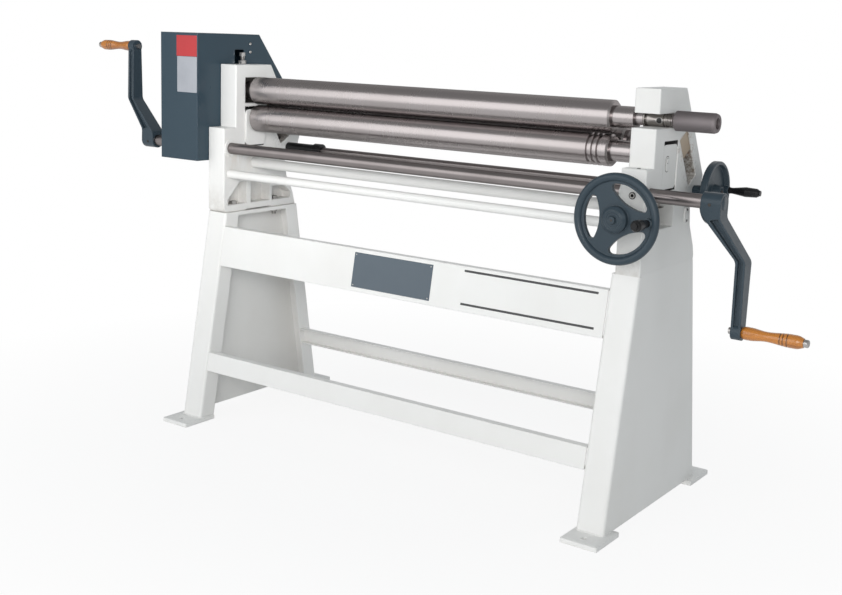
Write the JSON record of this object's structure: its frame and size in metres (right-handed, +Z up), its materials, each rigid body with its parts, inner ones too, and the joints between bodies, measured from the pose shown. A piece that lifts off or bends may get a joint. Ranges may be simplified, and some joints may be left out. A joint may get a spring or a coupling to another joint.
{
  "type": "plate rolling machine",
  "caption": "Hand-cranked plate rolling machine with pinch rolls and a slanted rear bending roll between side castings on sheet-metal stands, geared drive and handwheel adjustment.",
  "frame": {"origin": "on the floor, midway between the four floor bolt holes", "axes": "+X along the rolls towards the release slot end, +Y from the front to the rear, +Z up"},
  "size_m": [2.6152, 0.75, 1.292],
  "materials": {
    "cream_paint": "semi-gloss cream enamel",
    "cover_paint": "semi-gloss blue-grey enamel",
    "dark_paint": "dark blue-grey enamel on cast iron",
    "ground_steel": "ground bright steel",
    "gear_steel": "machined steel, lightly oiled",
    "screw_steel": "machined steel",
    "knurled_steel": "knurled dark steel",
    "bearing_iron": "bare machined iron",
    "bronze": "turned bronze",
    "wood": "varnished turned hardwood",
    "black_plastic": "moulded black"
  },
  "bodies": {
    "frame": {"left_stand": "cream_paint", "right_stand": "cream_paint", "foot_plates": "cream_paint", "front_apron": "cream_paint", "front_lower_rail": "cream_paint", "rear_lower_rail": "cream_paint", "left_casting": "cream_paint", "right_casting": "cream_paint", "casting_bolts": "screw_steel", "casting_nuts": "screw_steel", "front_tie_bar": "cream_paint", "lift_shaft_tube": "cream_paint", "gear_cover": "cover_paint", "cover_screws": "screw_steel", "pivot_screw": "screw_steel", "pivot_lock_nut": "screw_steel", "pivot_pin": "screw_steel", "drive_shaft_bushes": "bronze", "oval_plate": "screw_steel", "adjust_shaft_sleeve": "black_plastic"},
    "top_swing_arm": {"top_left_bearing": "bearing_iron", "top_right_bush": "screw_steel"},
    "top_roll_set": {"top_roll": "ground_steel", "top_roll_gear": "gear_steel", "roll_grip": "knurled_steel"},
    "lower_carriage": {"lower_left_bearing": "cream_paint", "lower_right_bearing": "cream_paint"},
    "lower_roll_set": {"lower_roll": "ground_steel", "lower_roll_gear": "gear_steel", "bull_gear": "gear_steel"},
    "rear_carriage": {"rear_left_bearing": "bearing_iron", "rear_right_bearing": "bearing_iron"},
    "rear_roll_set": {"rear_roll": "ground_steel"},
    "drive": {"drive_shaft": "ground_steel", "drive_pinion": "gear_steel", "left_crank_arm": "dark_paint", "right_crank_arm": "dark_paint", "handle_spindles": "screw_steel"},
    "left_grip": {"left_wood_handle": "wood"},
    "right_grip": {"right_wood_handle": "wood"},
    "lift_wheel": {"lift_handwheel": "dark_paint", "lift_spindle": "ground_steel", "lift_spindle_pinion": "gear_steel", "lift_knob_stud": "screw_steel"},
    "lift_grip": {"lift_knob": "black_plastic"},
    "lift_cross": {"lift_cross_shaft": "ground_steel", "lift_shaft_pinions": "gear_steel"},
    "left_lift": {"left_lift_screw": "screw_steel", "left_lift_gear": "gear_steel"},
    "right_lift": {"right_lift_screw": "screw_steel", "right_lift_gear": "gear_steel"},
    "rear_adjust": {"rear_adjust_shaft": "ground_steel", "rear_adjust_pinions": "gear_steel", "rear_handwheel": "dark_paint", "rear_handle_stud": "screw_steel"},
    "rear_grip": {"rear_wheel_handle": "black_plastic"},
    "left_rear_adjust": {"left_rear_screw": "screw_steel", "left_rear_gear": "gear_steel"},
    "right_rear_adjust": {"right_rear_screw": "screw_steel", "right_rear_gear": "gear_steel"}
  },
  "joints": [
    {"name": "lower_lift", "type": "slide", "parent": "frame", "child": "lower_carriage", "axis": [0, 0, 1], "range_m": [-0.003, 0.003]},
    {"name": "lower_roll_spin", "type": "hinge", "parent": "lower_carriage", "child": "lower_roll_set", "pos_m": [0, -0.037, 1.0135], "axis": [1, 0, 0], "continuous": true},
    {"name": "top_swing", "type": "hinge", "parent": "frame", "child": "top_swing_arm", "pos_m": [-0.782, -0.037, 1.107], "axis": [0, 0, -1], "range_deg": [0, 5]},
    {"name": "top_roll_spin", "type": "hinge", "parent": "top_swing_arm", "child": "top_roll_set", "pos_m": [0, -0.037, 1.107], "axis": [1, 0, 0], "continuous": true},
    {"name": "drive_spin", "type": "hinge", "parent": "frame", "child": "drive", "pos_m": [0, -0.1516, 0.916], "axis": [1, 0, 0], "continuous": true},
    {"name": "rear_slide", "type": "slide", "parent": "frame", "child": "rear_carriage", "axis": [0, -0.524, 0.8517], "range_m": [-0.04, 0.0025]},
    {"name": "rear_roll_spin", "type": "hinge", "parent": "rear_carriage", "child": "rear_roll_set", "pos_m": [0, 0.058, 1.036], "axis": [1, 0, 0], "continuous": true},
    {"name": "lift_wheel_spin", "type": "hinge", "parent": "frame", "child": "lift_wheel", "pos_m": [0.76, -0.037, 0.861], "axis": [0, 1, 0], "range_deg": [-360, 360]},
    {"name": "lift_cross_spin", "type": "hinge", "parent": "frame", "child": "lift_cross", "pos_m": [0, -0.037, 0.861], "axis": [1, 0, 0], "range_deg": [-360, 360]},
    {"name": "left_lift_spin", "type": "hinge", "parent": "frame", "child": "left_lift", "pos_m": [-0.76, -0.037, 0.861], "axis": [0, 0, 1], "range_deg": [-180, 180]},
    {"name": "right_lift_spin", "type": "hinge", "parent": "frame", "child": "right_lift", "pos_m": [0.76, -0.037, 0.861], "axis": [0, 0, 1], "range_deg": [-180, 180]},
    {"name": "rear_shaft_spin", "type": "hinge", "parent": "frame", "child": "rear_adjust", "pos_m": [0, 0.13922, 0.90398], "axis": [1, 0, 0], "range_deg": [-180, 2880]},
    {"name": "left_rear_spin", "type": "hinge", "parent": "frame", "child": "left_rear_adjust", "pos_m": [-0.76, 0.13922, 0.90398], "axis": [0, -0.524, 0.8517], "range_deg": [-180, 2880]},
    {"name": "right_rear_spin", "type": "hinge", "parent": "frame", "child": "right_rear_adjust", "pos_m": [0.76, 0.13922, 0.90398], "axis": [0, -0.524, 0.8517], "range_deg": [-180, 2880]},
    {"name": "left_grip_spin", "type": "hinge", "parent": "drive", "child": "left_grip", "pos_m": [-1.2, -0.1516, 1.238], "axis": [1, 0, 0], "continuous": true},
    {"name": "right_grip_spin", "type": "hinge", "parent": "drive", "child": "right_grip", "pos_m": [1.05, -0.1516, 0.594], "axis": [1, 0, 0], "continuous": true},
    {"name": "lift_grip_spin", "type": "hinge", "parent": "lift_wheel", "child": "lift_grip", "pos_m": [0.85, -0.27, 0.861], "axis": [0, 1, 0], "continuous": true},
    {"name": "rear_grip_spin", "type": "hinge", "parent": "rear_adjust", "child": "rear_grip", "pos_m": [0.87, 0.21521, 0.90531], "axis": [1, 0, 0], "continuous": true}
  ],
  "couplings": [
    {"joint": "top_roll_spin", "follows": "lower_roll_spin", "ratio": -1},
    {"joint": "drive_spin", "follows": "lower_roll_spin", "ratio": -3.3},
    {"joint": "lift_wheel_spin", "follows": "lower_lift", "rad_per_m": -2094},
    {"joint": "lift_cross_spin", "follows": "lower_lift", "rad_per_m": -2094},
    {"joint": "right_lift_spin", "follows": "lower_lift", "rad_per_m": -1047},
    {"joint": "left_lift_spin", "follows": "lower_lift", "rad_per_m": 1047},
    {"joint": "rear_shaft_spin", "follows": "rear_slide", "rad_per_m": -1256.6},
    {"joint": "left_rear_spin", "follows": "rear_slide", "rad_per_m": -1256.6},
    {"joint": "right_rear_spin", "follows": "rear_slide", "rad_per_m": -1256.6}
  ]
}
